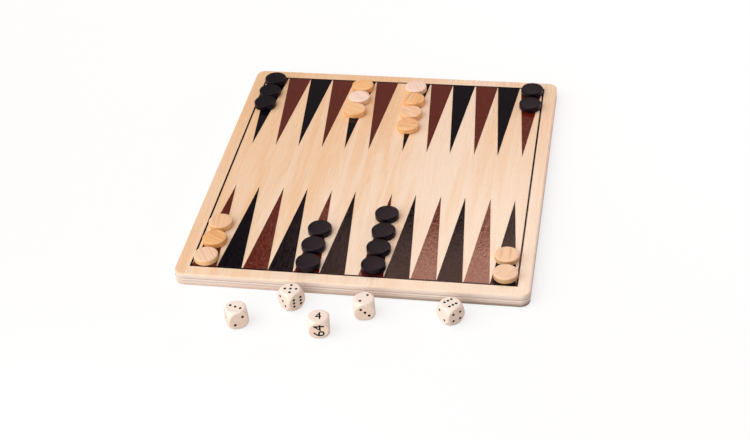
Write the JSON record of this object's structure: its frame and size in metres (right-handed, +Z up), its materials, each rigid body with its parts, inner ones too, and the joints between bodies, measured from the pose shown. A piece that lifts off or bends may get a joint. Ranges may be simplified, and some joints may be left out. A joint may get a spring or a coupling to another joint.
{
  "type": "backgammon board",
  "caption": "Flat plywood backgammon board printed with brown and black points, laid out with wooden checkers, spotted dice and a doubling cube that all lift off.",
  "frame": {"origin": "centre of the board's underside, on the surface that the board and the dice lie on", "axes": "+Z up out of the printed face, +Y from the front edge to the far edge, +X to the right as a player at the front edge sees it"},
  "size_m": [0.28, 0.3642, 0.0164],
  "materials": {
    "face_birch": "sanded pale birch veneer under a thin satin lacquer",
    "inner_birch": "long-grain ply seen on the sawn edge",
    "crossband_birch": "end-grain ply seen on the sawn edge, darker than its neighbours",
    "brown_ink": "screen-printed red-brown ink, satin, the grain showing through",
    "black_ink": "screen-printed black ink, satin, the grain showing through",
    "natural_checker_wood": "bare sanded wood, from pinkish white to honey",
    "black_checker_wood": "wood stained black, matte",
    "dice_wood": "tumbled pale wood, satin"
  },
  "bodies": {
    "board": {"back_veneer": "face_birch", "lower_crossband": "crossband_birch", "core_ply": "inner_birch", "upper_crossband": "crossband_birch", "face_veneer": "face_birch", "printed_outline": "black_ink", "front_point_01": "brown_ink", "front_point_02": "black_ink", "front_point_03": "brown_ink", "front_point_04": "black_ink", "front_point_05": "brown_ink", "front_point_06": "black_ink", "front_point_07": "brown_ink", "front_point_08": "black_ink", "front_point_09": "brown_ink", "front_point_10": "black_ink", "front_point_11": "brown_ink", "front_point_12": "black_ink", "far_point_01": "black_ink", "far_point_02": "brown_ink", "far_point_03": "black_ink", "far_point_04": "brown_ink", "far_point_05": "black_ink", "far_point_06": "brown_ink", "far_point_07": "black_ink", "far_point_08": "brown_ink", "far_point_09": "black_ink", "far_point_10": "brown_ink", "far_point_11": "black_ink", "far_point_12": "brown_ink"},
    "natural_checker_01": {"natural_checker_01": "natural_checker_wood"},
    "natural_checker_02": {"natural_checker_02": "natural_checker_wood"},
    "natural_checker_03": {"natural_checker_03": "natural_checker_wood"},
    "natural_checker_04": {"natural_checker_04": "natural_checker_wood"},
    "natural_checker_05": {"natural_checker_05": "natural_checker_wood"},
    "natural_checker_06": {"natural_checker_06": "natural_checker_wood"},
    "natural_checker_07": {"natural_checker_07": "natural_checker_wood"},
    "natural_checker_08": {"natural_checker_08": "natural_checker_wood"},
    "natural_checker_09": {"natural_checker_09": "natural_checker_wood"},
    "natural_checker_10": {"natural_checker_10": "natural_checker_wood"},
    "natural_checker_11": {"natural_checker_11": "natural_checker_wood"},
    "natural_checker_12": {"natural_checker_12": "natural_checker_wood"},
    "black_checker_01": {"black_checker_01": "black_checker_wood"},
    "black_checker_02": {"black_checker_02": "black_checker_wood"},
    "black_checker_03": {"black_checker_03": "black_checker_wood"},
    "black_checker_04": {"black_checker_04": "black_checker_wood"},
    "black_checker_05": {"black_checker_05": "black_checker_wood"},
    "black_checker_06": {"black_checker_06": "black_checker_wood"},
    "black_checker_07": {"black_checker_07": "black_checker_wood"},
    "black_checker_08": {"black_checker_08": "black_checker_wood"},
    "black_checker_09": {"black_checker_09": "black_checker_wood"},
    "black_checker_10": {"black_checker_10": "black_checker_wood"},
    "black_checker_11": {"black_checker_11": "black_checker_wood"},
    "black_checker_12": {"black_checker_12": "black_checker_wood"},
    "die_1": {"die_1": "dice_wood"},
    "die_2": {"die_2": "dice_wood"},
    "die_3": {"die_3": "dice_wood"},
    "die_4": {"die_4": "dice_wood"},
    "doubling_cube": {"doubling_cube": "dice_wood"}
  },
  "joints": [
    {"name": "natural_checker_01_lift", "type": "slide", "parent": "board", "child": "natural_checker_01", "axis": [0, 0, 1], "range_m": [0, 0.04]},
    {"name": "natural_checker_02_lift", "type": "slide", "parent": "board", "child": "natural_checker_02", "axis": [0, 0, 1], "range_m": [0, 0.04]},
    {"name": "natural_checker_03_lift", "type": "slide", "parent": "board", "child": "natural_checker_03", "axis": [0, 0, 1], "range_m": [0, 0.04]},
    {"name": "natural_checker_04_lift", "type": "slide", "parent": "board", "child": "natural_checker_04", "axis": [0, 0, 1], "range_m": [0, 0.04]},
    {"name": "natural_checker_05_lift", "type": "slide", "parent": "board", "child": "natural_checker_05", "axis": [0, 0, 1], "range_m": [0, 0.04]},
    {"name": "natural_checker_06_lift", "type": "slide", "parent": "board", "child": "natural_checker_06", "axis": [0, 0, 1], "range_m": [0, 0.04]},
    {"name": "natural_checker_07_lift", "type": "slide", "parent": "board", "child": "natural_checker_07", "axis": [0, 0, 1], "range_m": [0, 0.04]},
    {"name": "natural_checker_08_lift", "type": "slide", "parent": "board", "child": "natural_checker_08", "axis": [0, 0, 1], "range_m": [0, 0.04]},
    {"name": "natural_checker_09_lift", "type": "slide", "parent": "board", "child": "natural_checker_09", "axis": [0, 0, 1], "range_m": [0, 0.04]},
    {"name": "natural_checker_10_lift", "type": "slide", "parent": "board", "child": "natural_checker_10", "axis": [0, 0, 1], "range_m": [0, 0.04]},
    {"name": "natural_checker_11_lift", "type": "slide", "parent": "board", "child": "natural_checker_11", "axis": [0, 0, 1], "range_m": [0, 0.04]},
    {"name": "natural_checker_12_lift", "type": "slide", "parent": "board", "child": "natural_checker_12", "axis": [0, 0, 1], "range_m": [0, 0.04]},
    {"name": "black_checker_01_lift", "type": "slide", "parent": "board", "child": "black_checker_01", "axis": [0, 0, 1], "range_m": [0, 0.04]},
    {"name": "black_checker_02_lift", "type": "slide", "parent": "board", "child": "black_checker_02", "axis": [0, 0, 1], "range_m": [0, 0.04]},
    {"name": "black_checker_03_lift", "type": "slide", "parent": "board", "child": "black_checker_03", "axis": [0, 0, 1], "range_m": [0, 0.04]},
    {"name": "black_checker_04_lift", "type": "slide", "parent": "board", "child": "black_checker_04", "axis": [0, 0, 1], "range_m": [0, 0.04]},
    {"name": "black_checker_05_lift", "type": "slide", "parent": "board", "child": "black_checker_05", "axis": [0, 0, 1], "range_m": [0, 0.04]},
    {"name": "black_checker_06_lift", "type": "slide", "parent": "board", "child": "black_checker_06", "axis": [0, 0, 1], "range_m": [0, 0.04]},
    {"name": "black_checker_07_lift", "type": "slide", "parent": "board", "child": "black_checker_07", "axis": [0, 0, 1], "range_m": [0, 0.04]},
    {"name": "black_checker_08_lift", "type": "slide", "parent": "board", "child": "black_checker_08", "axis": [0, 0, 1], "range_m": [0, 0.04]},
    {"name": "black_checker_09_lift", "type": "slide", "parent": "board", "child": "black_checker_09", "axis": [0, 0, 1], "range_m": [0, 0.04]},
    {"name": "black_checker_10_lift", "type": "slide", "parent": "board", "child": "black_checker_10", "axis": [0, 0, 1], "range_m": [0, 0.04]},
    {"name": "black_checker_11_lift", "type": "slide", "parent": "board", "child": "black_checker_11", "axis": [0, 0, 1], "range_m": [0, 0.04]},
    {"name": "black_checker_12_lift", "type": "slide", "parent": "board", "child": "black_checker_12", "axis": [0, 0, 1], "range_m": [0, 0.04]},
    {"name": "die_1_lift", "type": "slide", "parent": "board", "child": "die_1", "axis": [0, 0, 1], "range_m": [0, 0.04]},
    {"name": "die_2_lift", "type": "slide", "parent": "board", "child": "die_2", "axis": [0, 0, 1], "range_m": [0, 0.04]},
    {"name": "die_3_lift", "type": "slide", "parent": "board", "child": "die_3", "axis": [0, 0, 1], "range_m": [0, 0.04]},
    {"name": "die_4_lift", "type": "slide", "parent": "board", "child": "die_4", "axis": [0, 0, 1], "range_m": [0, 0.04]},
    {"name": "doubling_cube_lift", "type": "slide", "parent": "board", "child": "doubling_cube", "axis": [0, 0, 1], "range_m": [0, 0.04]}
  ]
}
